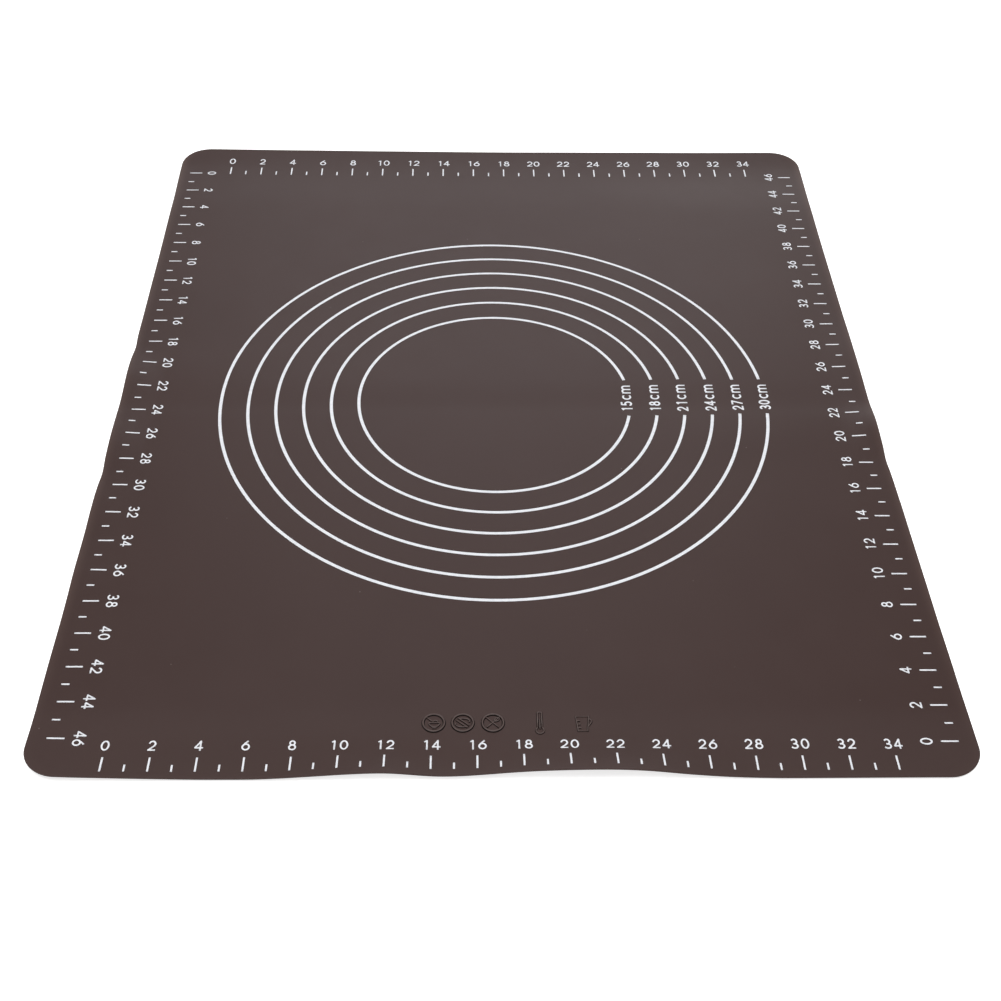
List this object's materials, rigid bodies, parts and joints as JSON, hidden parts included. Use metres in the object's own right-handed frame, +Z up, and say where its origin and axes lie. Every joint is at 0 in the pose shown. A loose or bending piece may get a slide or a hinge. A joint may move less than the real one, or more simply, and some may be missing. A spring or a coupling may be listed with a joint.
{
  "type": "silicone baking mat",
  "caption": "Thin rectangular silicone baking mat with rounded corners, printed guide circles for rolling dough and centimetre rulers along all edges.",
  "frame": {"origin": "middle of the mat's outline, on the flat underside that rests on the table", "axes": "+X to the mat's right and +Y from its front edge to its back edge, which is its longest extent, +Z up out of the printed side"},
  "size_m": [0.41, 0.511, 0.0068],
  "materials": {
    "silicone": "matt moulded silicone, dark warm brown, with a faint satin sheen",
    "print": "screen-printed silicone ink, cool white, matt"
  },
  "bodies": {
    "root": {"mat_sheet": "silicone", "guide_circle_15cm": "print", "guide_circle_18cm": "print", "guide_circle_21cm": "print", "guide_circle_24cm": "print", "guide_circle_27cm": "print", "guide_circle_30cm": "print", "front_ruler_long_marks": "print", "front_ruler_short_marks": "print", "back_ruler_long_marks": "print", "back_ruler_short_marks": "print", "left_ruler_long_marks": "print", "left_ruler_short_marks": "print", "right_ruler_long_marks": "print", "right_ruler_short_marks": "print"}
  },
  "joints": []
}
